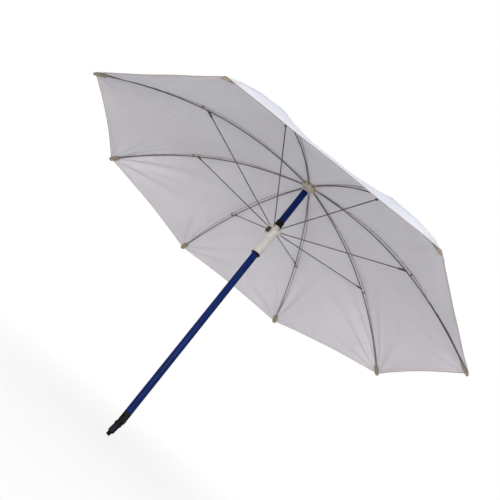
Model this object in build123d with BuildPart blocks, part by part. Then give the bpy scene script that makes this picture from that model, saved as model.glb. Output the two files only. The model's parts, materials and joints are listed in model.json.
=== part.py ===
from build123d import *
import os
from math import atan, atan2, cos, hypot, radians, sin, sqrt

# Eight-rib manual umbrella on a thick tubular pole with a tilt joint and a plug-in spigot.
# Millimetres, +Z up. The origin is the centre of the pole tube's lower end; the pole runs
# up +Z, the tilt joint and spigot hang below, and the latch button faces -Y.

# ---- canopy frame -----------------------------------------------------------
RIBS = 8
FIRST_AZIMUTH = -22.5       # rib 1, degrees; the others follow clockwise from above
AZIMUTH_STEP = -360.0 / RIBS
HALF_GORE = radians(180 / RIBS)
TIP_R = 760.0               # rim radius at the rib tips
CROWN_Z = 990.0             # height of the rib pivots
PIVOT_R = 23.0              # pivot circle, the same on crown and runner
SPAN = TIP_R - PIVOT_R      # pivot to tip, measured level
DROP = 312.0                # rib tips below the rib pivots
# rib curve: share of the drop = LINEAR t + SQUARE t^2 + CUBE t^3, t from 0 (pivot) to 1 (tip)
LINEAR, SQUARE, CUBE = 0.195, 0.545, 0.260
JOINT_T = 0.585             # where on the rib the stretcher is riveted

# ---- rods, eyes and rivets --------------------------------------------------
RIB_R = 1.9
STRETCHER_R = 1.9
WIRE_R = 1.25               # pivot wire
WIRE_GAP = 0.05             # tunnel round the pivot wire
EYE_R = 3.3
EYE_BORE = 1.33             # radius
EYE_W = 2.6                 # width of eyes and blades
RIVET_R = 1.3
RIVET_HALF = 3.4            # half the rivet shank
CUT = 40.0                  # length of a through cut

# ---- pole, crown and pins ---------------------------------------------------
POLE_R, POLE_WALL = 12.5, 1.2
POLE_TOP = CROWN_Z - 4
PIN_R = 2.0                 # housing and collar pins
CROWN_PIN_R = 1.6
PIN_GAP = 0.05
HOUSING_PIN_Z = 12.0
COLLAR_PIN_Z = 798.0
CROWN_PIN_Z = CROWN_Z - 15.5
CROWN_R = 26.2              # crown's slotted disc
SKIRT = 25.5                # crown hub below the rib pivots
CROWN_TOP = 9.6             # crown top above the rib pivots
CAP_Z = CROWN_Z + CROWN_TOP + 0.1
SCREW_R = 2.05              # cap screw
SLOT_W = 3.4                # radial slots in crown and runner
SLOT_IN, SLOT_OUT = 18.9, 40.0

# ---- runner and latch -------------------------------------------------------
LUG_R = 28.0                # runner's slotted disc
BARREL = 118.0              # runner barrel length below its pivots
RUNNER_BORE = POLE_R + 0.4
COLLAR_BORE = POLE_R + 0.08
LIP_OVERLAP = 3.0           # height of the neck inside the lip ring
BUTTON_W, BUTTON_H = 16.0, 21.0
BUTTON_BACK, BUTTON_DEPTH = 18.2, 12.8   # distance of the inner face toward -Y, and depth

# ---- tilt joint and spigot --------------------------------------------------
TILT_Z = -26.0              # tilt pin height
TILT_PIN_R = 3.0
TILT_PIN_HALF = 12.2        # half the shank
CHEEK_R = 12.4              # rounded ends of the cheeks
CHEEK_GAP = 11.0
TONGUE_R, TONGUE_W = 11.6, 10.7
SHOULDER_START, SHOULDER_END = 13.2, 23.5   # along the spigot from the tilt pin
BEND = radians(11.0)        # spigot angle to the pole, toward -Y
SPIGOT_R, SPIGOT_WALL, SPIGOT_LENGTH = 10.8, 1.2, 24.0
SPIGOT_START = SHOULDER_END + 0.1
SPIGOT_END = SPIGOT_START + SPIGOT_LENGTH
SPIGOT_FIT_R = SPIGOT_R - SPIGOT_WALL - 0.1   # solids that sit inside the tube

# ---- fabric -----------------------------------------------------------------
FABRIC_GAP = 4.4            # fabric underside above the rib centreline
FABRIC_T = 1.2
FABRIC_TOP_Z = 5.4          # flat centre's underside above the rib pivots
GORE_IN = 16.5              # inner edge radius
GORE_OUT = TIP_R - 1.0
SEAM_HALF = 0.25            # half the gap between neighbouring gores
HEM_SAG = 7.0               # hem hollow between two tips


def rib_drop(t):
    return DROP * (LINEAR * t + SQUARE * t * t + CUBE * t ** 3)


def rib_slope(t):
    return DROP / SPAN * (LINEAR + 2 * SQUARE * t + 3 * CUBE * t * t)


def rib_point(t, offset=0.0):
    """Point (radius, height over the pivots), offset upward square to the rib."""
    slope = rib_slope(t)
    norm = sqrt(1 + slope * slope)
    return (PIVOT_R + SPAN * t + offset * slope / norm, -rib_drop(t) + offset / norm)


# Equal legs: rib pivot to rivet = rivet to stretcher pivot.
JOINT_R = PIVOT_R + SPAN * JOINT_T
JOINT_DROP = rib_drop(JOINT_T)
JOINT = (JOINT_R, -JOINT_DROP)
RUNNER_Z = CROWN_Z - 2 * JOINT_DROP
LEG = hypot(JOINT_R - PIVOT_R, JOINT_DROP)
LEG_ANGLE = atan2(JOINT_DROP, JOINT_R - PIVOT_R)   # to the horizontal
BUTTON_Z = RUNNER_Z - 20.0
LIP_Z = RUNNER_Z - BARREL
LIP_TOP = 6.2               # runner's lower shoulder above the barrel end

CUT_ALONG_Y = Plane.XZ.offset(-CUT / 2)
CUT_ALONG_X = Plane.YZ.offset(-CUT / 2)
SPIGOT_DIR = Vector(0, -sin(BEND), -cos(BEND))


def azimuth(number):
    return FIRST_AZIMUTH + AZIMUTH_STEP * (number - 1)


def radial_plane(angle):
    """Upright plane through the axis: x outward, y up, origin at the rib pivots' height."""
    c, s = cos(radians(angle)), sin(radians(angle))
    return Plane(origin=(0, 0, CROWN_Z), x_dir=(c, s, 0), z_dir=(s, -c, 0))


def level_plane(angle, z):
    """Level plane at height z with x outward at the given azimuth."""
    return Plane(origin=(0, 0, z), x_dir=(cos(radians(angle)), sin(radians(angle)), 0),
                 z_dir=(0, 0, 1))


def spigot_plane(distance):
    """Plane square to the spigot, a distance down it from the tilt pin."""
    return Plane(origin=Vector(0, 0, TILT_Z) + SPIGOT_DIR * distance,
                 x_dir=(1, 0, 0), z_dir=SPIGOT_DIR)


def in_radial(plane, angle):
    """World direction at an angle (radians) above outward in a radial plane."""
    return plane.x_dir * cos(angle) + plane.y_dir * sin(angle)


def raised(profile, z):
    """Profile of (radius, height) points moved up by z."""
    return [(radius, height + z) for radius, height in profile]


def save(part, name):
    part.label = name
    export_step(part, f"parts/{name}.step")


# ---- shared small parts -----------------------------------------------------
def pin_along_y(radius, z, length):
    with BuildPart() as pin:
        with BuildSketch(Plane.XZ.offset(-length / 2)), Locations((0, z)):
            Circle(radius)
        extrude(amount=length)
    return pin.part


def pivot_wire(z):
    with BuildPart() as ring:
        with Locations((0, 0, z)):
            Torus(PIVOT_R, WIRE_R)
    return ring.part


# ---- pole, crown and cap ----------------------------------------------------
def pole_tube():
    holes = ((HOUSING_PIN_Z, PIN_R), (CROWN_PIN_Z, CROWN_PIN_R), (COLLAR_PIN_Z, PIN_R))
    with BuildPart() as tube:
        with BuildSketch(Plane.XY):
            Circle(POLE_R)
            Circle(POLE_R - POLE_WALL, mode=Mode.SUBTRACT)
        extrude(amount=POLE_TOP)
        for z, radius in holes:
            with BuildSketch(CUT_ALONG_Y), Locations((0, z)):
                Circle(radius + PIN_GAP)
            extrude(amount=CUT, mode=Mode.SUBTRACT)
    return tube.part


def crown():
    # radius, height over the rib pivots
    profile = [
        (0, -3.8), (POLE_R + 0.1, -3.8), (POLE_R + 0.1, -SKIRT), (16.6, -SKIRT),
        (17.8, -SKIRT + 2.0), (18.6, -9), (21.0, -5.2), (CROWN_R - 1.2, -5.2),
        (CROWN_R, -4.0), (CROWN_R, 3.6), (CROWN_R - 1.2, 4.8), (13.5, 4.8),
        (13.5, CROWN_TOP), (0, CROWN_TOP),
    ]
    with BuildPart() as body:
        with BuildSketch(Plane.XZ):
            with BuildLine():
                Polyline(*raised(profile, CROWN_Z), close=True)
            make_face()
        revolve(axis=Axis.Z)
        # radial slots, open below, and the tunnel of the pivot wire
        for number in range(1, RIBS + 1):
            with BuildSketch(level_plane(azimuth(number), CROWN_Z - 40)):
                with Locations(((SLOT_IN + SLOT_OUT) / 2, 0)):
                    Rectangle(SLOT_OUT - SLOT_IN, SLOT_W)
            extrude(amount=43.6, mode=Mode.SUBTRACT)
        with Locations((0, 0, CROWN_Z)):
            Torus(PIVOT_R, WIRE_R + WIRE_GAP, mode=Mode.SUBTRACT)
        with BuildSketch(CUT_ALONG_Y), Locations((0, CROWN_PIN_Z)):
            Circle(CROWN_PIN_R + PIN_GAP)
        extrude(amount=CUT, mode=Mode.SUBTRACT)
        # cap screw hole
        with BuildSketch(Plane.XY.offset(CROWN_Z + CROWN_TOP)):
            Circle(SCREW_R + 0.05)
        extrude(amount=-10, mode=Mode.SUBTRACT)
    return body.part


def top_cap():
    bore = SCREW_R + 0.1
    # radius, height over the cap's seat: underside, domed top, screw seat
    underside = [(bore, 11.0), (bore, 0), (14.2, 0), (15.4, -2.5), (29.2, -2.5), (30.0, -1.6)]
    dome = [underside[-1], (27.5, 4.4), (19.0, 9.6), (9.0, 12.2)]
    screw_seat = [dome[-1], (5.2, 12.6), (5.2, 11.0), underside[0]]
    with BuildPart() as cap:
        with BuildSketch(Plane.XZ):
            with BuildLine():
                Polyline(*raised(underside, CAP_Z))
                Spline(*raised(dome, CAP_Z))
                Polyline(*raised(screw_seat, CAP_Z))
            make_face()
        revolve(axis=Axis.Z)
    return cap.part


def cap_screw():
    # radius, height over the cap's seat
    profile = [
        (0, -9.2), (1.6, -9.2), (SCREW_R, -8.0), (SCREW_R, 11.05), (4.6, 11.05),
        (4.6, 12.4), (3.2, 13.9), (0, 14.4),
    ]
    with BuildPart() as screw:
        with BuildSketch(Plane.XZ):
            with BuildLine():
                Polyline(*raised(profile, CAP_Z), close=True)
            make_face()
        revolve(axis=Axis.Z)
        # cross recess
        with BuildSketch(Plane.XY.offset(CAP_Z + 12.6)):
            Rectangle(1.0, 5.6)
            Rectangle(5.6, 1.0)
        extrude(amount=4, mode=Mode.SUBTRACT)
    return screw.part


# ---- stop collar and runner -------------------------------------------------
def stop_collar():
    # radius, height over the runner pivots
    profile = [
        (COLLAR_BORE, 15), (14.0, 15), (14.7, 16), (14.7, 39), (13.9, 41), (COLLAR_BORE, 41),
    ]
    with BuildPart() as collar:
        with BuildSketch(Plane.XZ):
            with BuildLine():
                Polyline(*raised(profile, RUNNER_Z), close=True)
            make_face()
        revolve(axis=Axis.Z)
        with BuildSketch(CUT_ALONG_Y), Locations((0, COLLAR_PIN_Z)):
            Circle(PIN_R + PIN_GAP)
        extrude(amount=CUT, mode=Mode.SUBTRACT)
    return collar.part


def runner():
    # radius, height over the runner pivots
    profile = [
        (RUNNER_BORE, 13.5), (16.0, 13.5), (17.2, 12.3), (17.2, 5.0), (LUG_R - 1.2, 5.0),
        (LUG_R, 3.8), (LUG_R, -4.4), (LUG_R - 1.4, -5.8), (21.5, -7.4), (20.2, -9.0),
        (19.6, -33.0), (18.0, -38.0), (16.6, -BARREL + LIP_TOP), (RUNNER_BORE, -BARREL + LIP_TOP),
    ]
    with BuildPart() as body:
        with BuildSketch(Plane.XZ):
            with BuildLine():
                Polyline(*raised(profile, RUNNER_Z), close=True)
            make_face()
        revolve(axis=Axis.Z)
        # housing of the latch button, on the -Y side, and the button's pocket
        with BuildSketch(Plane.XZ.offset(13.6)), Locations((0, BUTTON_Z)):
            RectangleRounded(BUTTON_W + 6.0, BUTTON_H + 6.0, 2.4)
        extrude(amount=12.4)
        with BuildSketch(Plane.XZ.offset(14.2)), Locations((0, BUTTON_Z)):
            RectangleRounded(BUTTON_W + 0.5, BUTTON_H + 0.5, 1.6)
        extrude(amount=20, mode=Mode.SUBTRACT)
        # radial slots, open above, and the tunnel of the pivot wire
        for number in range(1, RIBS + 1):
            with BuildSketch(level_plane(azimuth(number), RUNNER_Z - 3.7)):
                with Locations(((SLOT_IN + SLOT_OUT) / 2, 0)):
                    Rectangle(SLOT_OUT - SLOT_IN, SLOT_W)
            extrude(amount=23.7, mode=Mode.SUBTRACT)
        with Locations((0, 0, RUNNER_Z)):
            Torus(PIVOT_R, WIRE_R + WIRE_GAP, mode=Mode.SUBTRACT)
        # neck that carries the lip ring
        with BuildSketch(Plane.XY.offset(LIP_Z + LIP_TOP)):
            Circle(15.2)
            Circle(RUNNER_BORE, mode=Mode.SUBTRACT)
        extrude(amount=-LIP_OVERLAP)
    return body.part


def runner_lip_ring():
    top = LIP_TOP - 0.1
    step = top - LIP_OVERLAP
    # radius, height over the barrel end
    profile = [
        (15.3, top), (17.0, top), (17.6, 5.0), (17.6, 1.4), (16.2, 0),
        (RUNNER_BORE, 0), (RUNNER_BORE, step), (15.3, step),
    ]
    with BuildPart() as ring:
        with BuildSketch(Plane.XZ):
            with BuildLine():
                Polyline(*raised(profile, LIP_Z), close=True)
            make_face()
        revolve(axis=Axis.Z)
    return ring.part


def latch_button():
    back_plane = Plane.XZ.offset(BUTTON_BACK)
    with BuildPart() as button:
        with BuildSketch(back_plane), Locations((0, BUTTON_Z)):
            RectangleRounded(BUTTON_W, BUTTON_H, 1.5)
        extrude(amount=BUTTON_DEPTH)
        fillet(button.faces().sort_by(Axis.Y)[0].edges(), 1.4)
        # spring pocket in the inner face
        with BuildSketch(back_plane), Locations((0, BUTTON_Z)):
            Circle(4.6)
        extrude(amount=8.0, mode=Mode.SUBTRACT)
        # finger grooves on the push face
        with BuildSketch(Plane.XZ.offset(BUTTON_BACK + BUTTON_DEPTH - 0.5)):
            for dz in (-5.0, 0.0, 5.0):
                with Locations((0, BUTTON_Z + dz)):
                    SlotOverall(9.0, 1.6)
        extrude(amount=2, mode=Mode.SUBTRACT)
    return button.part


def latch_spring():
    with BuildPart() as spring:
        with BuildLine() as coil:
            Helix(pitch=2.6, height=10.6, radius=3.7, center=(0, -14.9, BUTTON_Z),
                  direction=(0, -1, 0))
        with BuildSketch(Plane(origin=coil.line @ 0, z_dir=coil.line % 0)):
            Circle(0.45)
        sweep(path=coil.line)
    return spring.part


# ---- tilt joint and spigot --------------------------------------------------
def tilt_housing():
    shoulder = 0.1          # gap below the pole tube
    with BuildPart() as housing:
        with BuildSketch(Plane.XY.offset(-shoulder)):
            Circle(POLE_R)
        extrude(amount=TILT_Z - 12.2 + shoulder)
        # plug inside the pole tube
        with BuildSketch(Plane.XY.offset(-shoulder)):
            Circle(POLE_R - POLE_WALL - 0.08)
        extrude(amount=26)
        # rounded ends of the two cheeks about the tilt pin
        with BuildSketch(CUT_ALONG_X):
            with Locations((0, TILT_Z - 10)):
                Rectangle(40, 20)
            with Locations((0, TILT_Z)):
                Circle(CHEEK_R, mode=Mode.SUBTRACT)
        extrude(amount=CUT, mode=Mode.SUBTRACT)
        # slot between the cheeks
        with BuildSketch(Plane.XY.offset(TILT_Z + CHEEK_R)):
            Rectangle(CHEEK_GAP, 40)
        extrude(amount=-CUT, mode=Mode.SUBTRACT)
        with BuildSketch(CUT_ALONG_X), Locations((0, TILT_Z)):
            Circle(TILT_PIN_R + 0.06)
        extrude(amount=CUT, mode=Mode.SUBTRACT)
        with BuildSketch(CUT_ALONG_Y), Locations((0, HOUSING_PIN_Z)):
            Circle(PIN_R + PIN_GAP)
        extrude(amount=CUT, mode=Mode.SUBTRACT)
    return housing.part


def tilt_pin():
    # radius, start and length outward of each end's head, then of its neck
    ends = ((4.6, 12.6, 1.3), (TILT_PIN_R, TILT_PIN_HALF, 0.5))
    with BuildPart() as pin:
        with BuildSketch(Plane.YZ.offset(-TILT_PIN_HALF)), Locations((0, TILT_Z)):
            Circle(TILT_PIN_R)
        extrude(amount=2 * TILT_PIN_HALF)
        for radius, start, length in ends:
            for side in (-1, 1):
                with BuildSketch(Plane.YZ.offset(side * start)), Locations((0, TILT_Z)):
                    Circle(radius)
                extrude(amount=side * length)
    return pin.part


def tilt_knuckle():
    with BuildPart() as knuckle:
        # shoulder, its lower edge rounded
        with BuildSketch(spigot_plane(SHOULDER_START)):
            Circle(POLE_R)
        extrude(amount=SHOULDER_END - SHOULDER_START)
        fillet(knuckle.edges().filter_by(GeomType.CIRCLE).sort_by(Axis.Z)[0:1], 1.2)
        # tongue between the cheeks
        with BuildSketch(Plane.YZ.offset(-TONGUE_W / 2)), Locations((0, TILT_Z)):
            Circle(TONGUE_R)
        extrude(amount=TONGUE_W)
        with BuildSketch(spigot_plane(0)):
            Rectangle(TONGUE_W, 20)
        extrude(amount=14)
        # plug inside the spigot tube
        with BuildSketch(spigot_plane(SHOULDER_END)):
            Circle(SPIGOT_FIT_R)
        extrude(amount=14)
        with BuildSketch(CUT_ALONG_X), Locations((0, TILT_Z)):
            Circle(TILT_PIN_R + 0.03)
        extrude(amount=CUT, mode=Mode.SUBTRACT)
    return knuckle.part


def spigot_tube():
    with BuildPart() as tube:
        with BuildSketch(spigot_plane(SPIGOT_START)):
            Circle(SPIGOT_R)
            Circle(SPIGOT_R - SPIGOT_WALL, mode=Mode.SUBTRACT)
        extrude(amount=SPIGOT_LENGTH)
    return tube.part


def spigot_plug():
    plug_start = 39.0
    step = SPIGOT_END + 0.1
    step_length = 2.0
    with BuildPart() as plug:
        with BuildSketch(spigot_plane(plug_start)):
            Circle(SPIGOT_FIT_R)
        extrude(amount=step - plug_start)
        with BuildSketch(spigot_plane(step)):
            Circle(8.6)
        extrude(amount=step_length)
        with BuildSketch(spigot_plane(step + step_length)):
            Circle(6.9)
        extrude(amount=10.3, taper=4)
    return plug.part


# ---- ribs, rivets and stretchers --------------------------------------------
def rib(plane):
    stations = (0.0145, 0.06, 0.12, 0.2, 0.3, 0.4, 0.5, 0.6, 0.7, 0.8, 0.9, 1.0)
    blade_l, blade_half = 15, 2.0
    blade_drop = blade_l * rib_slope(0.02)
    blade_end = PIVOT_R + blade_l
    with BuildPart() as body:
        with BuildLine(plane) as path:
            Spline(*[rib_point(t) for t in stations])
        with BuildSketch(Plane(origin=path.line @ 0, z_dir=path.line % 0)):
            Circle(RIB_R)
        sweep(path=path.line)
        # blade and eye at the crown
        with BuildSketch(plane):
            with Locations((PIVOT_R, 0)):
                Circle(EYE_R)
            with BuildLine():
                Polyline((PIVOT_R, blade_half), (PIVOT_R, -blade_half),
                         (blade_end, -blade_half - blade_drop),
                         (blade_end, blade_half - blade_drop), close=True)
            make_face()
        extrude(amount=EYE_W / 2, both=True)
        with BuildSketch(plane), Locations((PIVOT_R, 0)):
            Circle(EYE_BORE)
        extrude(amount=5, both=True, mode=Mode.SUBTRACT)
        # pressed boss for the stretcher rivet
        with BuildSketch(plane), Locations(JOINT):
            Circle(3.4)
        extrude(amount=RIB_R, both=True)
        with BuildSketch(plane), Locations(JOINT):
            Circle(RIVET_R + 0.02)
        extrude(amount=5, both=True, mode=Mode.SUBTRACT)
    return body.part


def rivet(plane):
    with BuildPart() as body:
        with BuildSketch(plane), Locations(JOINT):
            Circle(RIVET_R)
        extrude(amount=RIVET_HALF, both=True)
        for side in (1, -1):
            with BuildSketch(plane.offset(side * RIVET_HALF)), Locations(JOINT):
                Circle(2.6)
            extrude(amount=side * 0.9)
    return body.part


def stretcher(plane):
    rod_start = 11
    yoke_throat = 20        # slot bottom, back from the rivet
    # local x runs from the runner pivot to the rivet
    leg_plane = Plane(origin=plane.from_local_coords((PIVOT_R, -2 * JOINT_DROP, 0)),
                      x_dir=in_radial(plane, LEG_ANGLE), z_dir=plane.z_dir)
    rod_origin = leg_plane.from_local_coords((rod_start, 0, 0))
    with BuildPart() as body:
        with BuildSketch(Plane(origin=rod_origin, z_dir=leg_plane.x_dir)):
            Circle(STRETCHER_R)
        extrude(amount=LEG - yoke_throat - rod_start)
        # blade and eye at the runner
        with BuildSketch(leg_plane):
            Circle(EYE_R)
            with Locations((7.5, 0)):
                Rectangle(15, 4.0)
        extrude(amount=EYE_W / 2, both=True)
        with BuildSketch(leg_plane):
            Circle(EYE_BORE)
        extrude(amount=5, both=True, mode=Mode.SUBTRACT)
        # yoke that straddles the rib
        with BuildSketch(leg_plane):
            with Locations((LEG, 0)):
                Circle(3.0)
            with Locations((LEG - 12, 0)):
                Rectangle(24, 4.8)
        extrude(amount=3.15, both=True)
        with BuildSketch(leg_plane), Locations((LEG - yoke_throat + 16, 0)):
            Rectangle(32, 12)
        extrude(amount=2.1, both=True, mode=Mode.SUBTRACT)
        with BuildSketch(leg_plane), Locations((LEG, 0)):
            Circle(RIVET_R + 0.06)
        extrude(amount=5, both=True, mode=Mode.SUBTRACT)
    return body.part


# ---- corner pockets and gores -----------------------------------------------
def corner_pocket(plane):
    """Sleeve over the rib tip, running back inward from 4.5 beyond it."""
    # across the rib, above the rib centreline
    section = [(-11.5, -3.2), (11.5, -3.2), (11.5, 0.0), (3.0, 3.1), (-3.0, 3.1), (-11.5, 0.0)]
    outward = in_radial(plane, -atan(rib_slope(0.98)))
    tip = plane.from_local_coords((*rib_point(1.0), 0))
    with BuildPart() as pocket:
        with BuildSketch(Plane(origin=tip + outward * 4.5, x_dir=plane.z_dir,
                               z_dir=outward * -1)):
            with BuildLine():
                Polyline(*section, close=True)
            make_face()
        extrude(amount=38)
        # bore for the rib rod
        with BuildLine(plane) as path:
            Spline(*[rib_point(t) for t in (0.93, 0.95, 0.97, 0.985, 1.0)])
        with BuildSketch(Plane(origin=path.line @ 0, z_dir=path.line % 0)):
            Circle(RIB_R + 0.06)
        sweep(path=path.line, mode=Mode.SUBTRACT)
    return pocket.part


def gore_profile(offset):
    """Fabric line along the middle of a gore, offset above the underside."""
    flat_z = FABRIC_TOP_Z + offset
    points = [(15.0, flat_z), (PIVOT_R + 9.5, flat_z)]
    for t in (0.06, 0.12, 0.2, 0.3, 0.4, 0.5, 0.6, 0.7, 0.8, 0.9, 1.0, 1.01):
        points.append(rib_point(t, FABRIC_GAP + offset))
    return [(x * cos(HALF_GORE), y) for x, y in points]


def gore_corner(radius, side):
    """Plan point on a gore's side edge, set in from the rib line by half the seam."""
    return (SEAM_HALF / sin(HALF_GORE) + radius * cos(HALF_GORE),
            side * radius * sin(HALF_GORE))


def gore(angle):
    """Gore centred on an azimuth: flat across, curved along."""
    lower = gore_profile(0.0)
    upper = gore_profile(FABRIC_T)
    with BuildPart() as panel:
        with BuildSketch(radial_plane(angle)):
            with BuildLine():
                Line(lower[0], lower[1])
                Spline(*lower[1:])
                Line(lower[-1], upper[-1])
                Spline(*reversed(upper[1:]))
                Line(upper[1], upper[0])
                Line(upper[0], lower[0])
            make_face()
        extrude(amount=330, both=True)
        # trim to the plan outline: two sides, hollow hem and inner arc
        hem_middle = (GORE_OUT * cos(HALF_GORE) - HEM_SAG, 0)
        with BuildSketch(level_plane(angle, CROWN_Z - 420)):
            with BuildLine():
                Line(gore_corner(GORE_IN, -1), gore_corner(GORE_OUT, -1))
                ThreePointArc(gore_corner(GORE_OUT, -1), hem_middle, gore_corner(GORE_OUT, 1))
                Line(gore_corner(GORE_OUT, 1), gore_corner(GORE_IN, 1))
                ThreePointArc(gore_corner(GORE_IN, 1), (17.2, 0), gore_corner(GORE_IN, -1))
            make_face()
        extrude(amount=500, mode=Mode.INTERSECT)
    return panel.part


# ---- build and save ---------------------------------------------------------
os.makedirs("parts", exist_ok=True)

for build in (pole_tube, crown, top_cap, cap_screw, stop_collar, runner, runner_lip_ring,
              latch_button, latch_spring, tilt_housing, tilt_pin, tilt_knuckle,
              spigot_tube, spigot_plug):
    save(build(), build.__name__)

save(pivot_wire(CROWN_Z), "crown_ring")
save(pivot_wire(RUNNER_Z), "runner_ring")
save(pin_along_y(CROWN_PIN_R, CROWN_PIN_Z, 36.0), "crown_pin")
save(pin_along_y(PIN_R, COLLAR_PIN_Z, 29.2), "collar_pin")
save(pin_along_y(PIN_R, HOUSING_PIN_Z, 24.6), "housing_pin")

for number in range(1, RIBS + 1):
    rib_plane = radial_plane(azimuth(number))
    for build in (rib, rivet, stretcher, corner_pocket):
        save(build(rib_plane), f"{build.__name__}_{number}")
    # gore between this rib and the next
    save(gore(azimuth(number) + AZIMUTH_STEP / 2), f"gore_{number}")
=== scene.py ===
"""An open umbrella with eight ribs.

The pole stands on the Z axis and the canopy opens round it, highest at the crown.
Ribs are numbered 1 to 8, clockwise seen from above. Gore i spans rib i to the next rib.
Shapes are worked out in mm and written to the meshes in metres.
Along a rib, t is 0 at its pivot and 1 at its tip. Across a gore, u is -1 at its own rib
and +1 at the next.
"""
import json
import math
import bpy
import bmesh
import numpy as np
from mathutils import Matrix, Vector
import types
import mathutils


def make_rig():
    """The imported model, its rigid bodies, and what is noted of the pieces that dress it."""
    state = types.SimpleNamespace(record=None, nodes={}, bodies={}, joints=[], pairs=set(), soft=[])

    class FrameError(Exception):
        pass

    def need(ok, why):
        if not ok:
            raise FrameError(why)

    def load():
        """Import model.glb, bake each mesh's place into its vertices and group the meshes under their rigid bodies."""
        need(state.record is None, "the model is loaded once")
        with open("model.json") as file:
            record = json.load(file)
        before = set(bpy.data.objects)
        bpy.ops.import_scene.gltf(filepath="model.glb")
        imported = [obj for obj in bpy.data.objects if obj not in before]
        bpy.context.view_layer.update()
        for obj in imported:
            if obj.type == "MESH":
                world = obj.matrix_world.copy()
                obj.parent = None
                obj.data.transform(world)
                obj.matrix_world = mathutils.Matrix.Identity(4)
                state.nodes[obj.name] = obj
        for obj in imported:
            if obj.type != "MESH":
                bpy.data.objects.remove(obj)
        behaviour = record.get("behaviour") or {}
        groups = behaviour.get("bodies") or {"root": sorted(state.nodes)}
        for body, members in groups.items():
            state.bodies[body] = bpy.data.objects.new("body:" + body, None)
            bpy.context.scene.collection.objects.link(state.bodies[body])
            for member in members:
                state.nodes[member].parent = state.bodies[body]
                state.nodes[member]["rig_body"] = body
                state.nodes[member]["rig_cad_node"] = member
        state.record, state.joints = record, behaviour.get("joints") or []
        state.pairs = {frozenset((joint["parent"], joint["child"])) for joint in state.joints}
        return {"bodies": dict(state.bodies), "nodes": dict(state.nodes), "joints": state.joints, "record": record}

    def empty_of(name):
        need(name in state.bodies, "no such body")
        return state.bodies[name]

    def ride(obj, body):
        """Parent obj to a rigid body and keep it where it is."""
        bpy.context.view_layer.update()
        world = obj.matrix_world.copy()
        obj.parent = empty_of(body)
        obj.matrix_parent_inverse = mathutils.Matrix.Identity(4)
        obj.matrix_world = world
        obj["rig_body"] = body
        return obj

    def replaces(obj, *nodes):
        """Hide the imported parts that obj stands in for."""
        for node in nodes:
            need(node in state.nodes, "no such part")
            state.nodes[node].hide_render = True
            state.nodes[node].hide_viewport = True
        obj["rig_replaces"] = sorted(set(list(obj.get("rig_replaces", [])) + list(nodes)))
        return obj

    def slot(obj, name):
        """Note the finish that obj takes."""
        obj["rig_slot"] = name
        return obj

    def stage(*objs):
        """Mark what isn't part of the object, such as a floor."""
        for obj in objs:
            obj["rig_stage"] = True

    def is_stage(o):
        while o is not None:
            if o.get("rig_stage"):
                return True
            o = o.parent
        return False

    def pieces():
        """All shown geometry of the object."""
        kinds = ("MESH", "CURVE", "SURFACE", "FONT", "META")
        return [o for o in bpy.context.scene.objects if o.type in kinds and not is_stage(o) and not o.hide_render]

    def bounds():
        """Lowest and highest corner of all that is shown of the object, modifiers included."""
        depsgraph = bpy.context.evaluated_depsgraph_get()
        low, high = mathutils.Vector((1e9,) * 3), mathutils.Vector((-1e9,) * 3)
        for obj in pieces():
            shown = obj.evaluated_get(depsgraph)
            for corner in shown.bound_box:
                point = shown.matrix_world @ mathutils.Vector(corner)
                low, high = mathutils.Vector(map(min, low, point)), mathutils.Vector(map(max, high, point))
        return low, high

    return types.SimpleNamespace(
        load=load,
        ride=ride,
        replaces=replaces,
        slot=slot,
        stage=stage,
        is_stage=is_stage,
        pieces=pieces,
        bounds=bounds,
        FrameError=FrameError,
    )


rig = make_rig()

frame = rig.load()
CAD_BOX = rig.bounds()
nodes, bodies = frame["nodes"], frame["bodies"]
scene = bpy.context.scene

# ------------------------------------------------------------------ driving sizes, mm
MM = 0.001
RIBS = 8
GORE_DEG = 360.0 / RIBS
HALF_GORE = math.radians(GORE_DEG / 2)
COS_HALF, SIN_HALF = math.cos(HALF_GORE), math.sin(HALF_GORE)

TIP_RADIUS, PIVOT_RADIUS = 760.0, 23.0
RIB_RUN = TIP_RADIUS - PIVOT_RADIUS           # horizontal reach of a rib
RIB_DROP = 312.0                              # fall from pivot to tip
CURVE_1, CURVE_2, CURVE_3 = 0.195, 0.545, 0.260   # shares of t, t^2 and t^3 in the fall
CROWN_Z = {j["name"]: j for j in frame["joints"]}["rib_1_fold"]["pos_m"][2] * 1000.0

RIVET_T = 0.585
TIE_T = RIVET_T + 0.026
FABRIC_ABOVE_RIB = 5.0                        # cloth mid-surface above the rib centreline
CLOTH_START_T = -0.008
CLOTH_END_T = 1.0 - 0.0015
CLOTH_THICKNESS = 0.7
HEM_SAG = 7.0                                 # how far the hem curves in between two tips
HEM_WIDTH = 9.0
HEM_FORESHORTENING = 0.93                     # share of a hem inset that lies along t


# ------------------------------------------------------------------ geometry of the ribs
def azimuth(rib):
    return math.radians(-GORE_DEG / 2 - GORE_DEG * (rib - 1))


def next_rib(rib):
    return rib % RIBS + 1


def centreline(t):
    """(r, z) on a rib's centreline"""
    fall = RIB_DROP * (CURVE_1 * t + CURVE_2 * t * t + CURVE_3 * t ** 3)
    return PIVOT_RADIUS + RIB_RUN * t, CROWN_Z - fall


def slope(t):
    return RIB_DROP / RIB_RUN * (CURVE_1 + 2 * CURVE_2 * t + 3 * CURVE_3 * t * t)


def normal(t):
    """unit (r, z) at right angles to the rib, pointing out of the canopy"""
    m = slope(t)
    length = np.sqrt(1 + m * m)
    return m / length, 1 / length


def smooth(start, end, x):
    """smooth step from 0 at start to 1 at end"""
    q = np.clip((np.asarray(x, float) - start) / (end - start), 0, 1)
    return q * q * (3 - 2 * q)


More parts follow.
